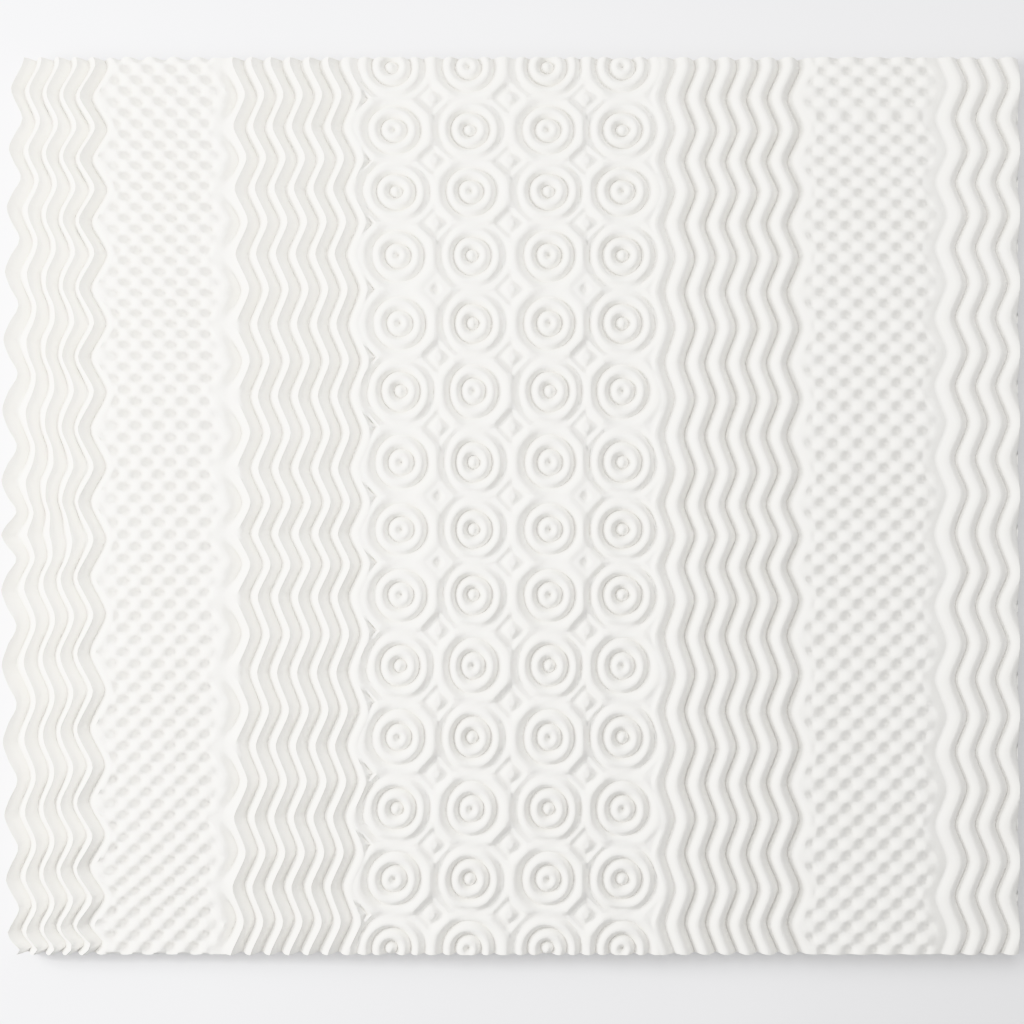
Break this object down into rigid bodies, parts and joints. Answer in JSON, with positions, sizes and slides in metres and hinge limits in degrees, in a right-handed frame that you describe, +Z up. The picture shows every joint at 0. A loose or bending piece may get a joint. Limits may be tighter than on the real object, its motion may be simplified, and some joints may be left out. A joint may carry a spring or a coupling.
{
  "type": "foam mattress topper",
  "caption": "Flat one-piece foam slab for a bed, with side-by-side bands of wavy ribs, small knobs and ringed targets moulded in its upper face.",
  "frame": {"origin": "centre of the underside, on the surface that the topper lies on", "axes": "+X along the bed's length across the bands, +Y across the bed's width along the ribs, +Z up out of the moulded face"},
  "size_m": [2.0118, 1.775, 0.05],
  "materials": {
    "white_foam": "open-cell white foam, cut and dull, very slightly warm in the shade"
  },
  "bodies": {
    "root": {"topper": "white_foam"}
  },
  "joints": []
}
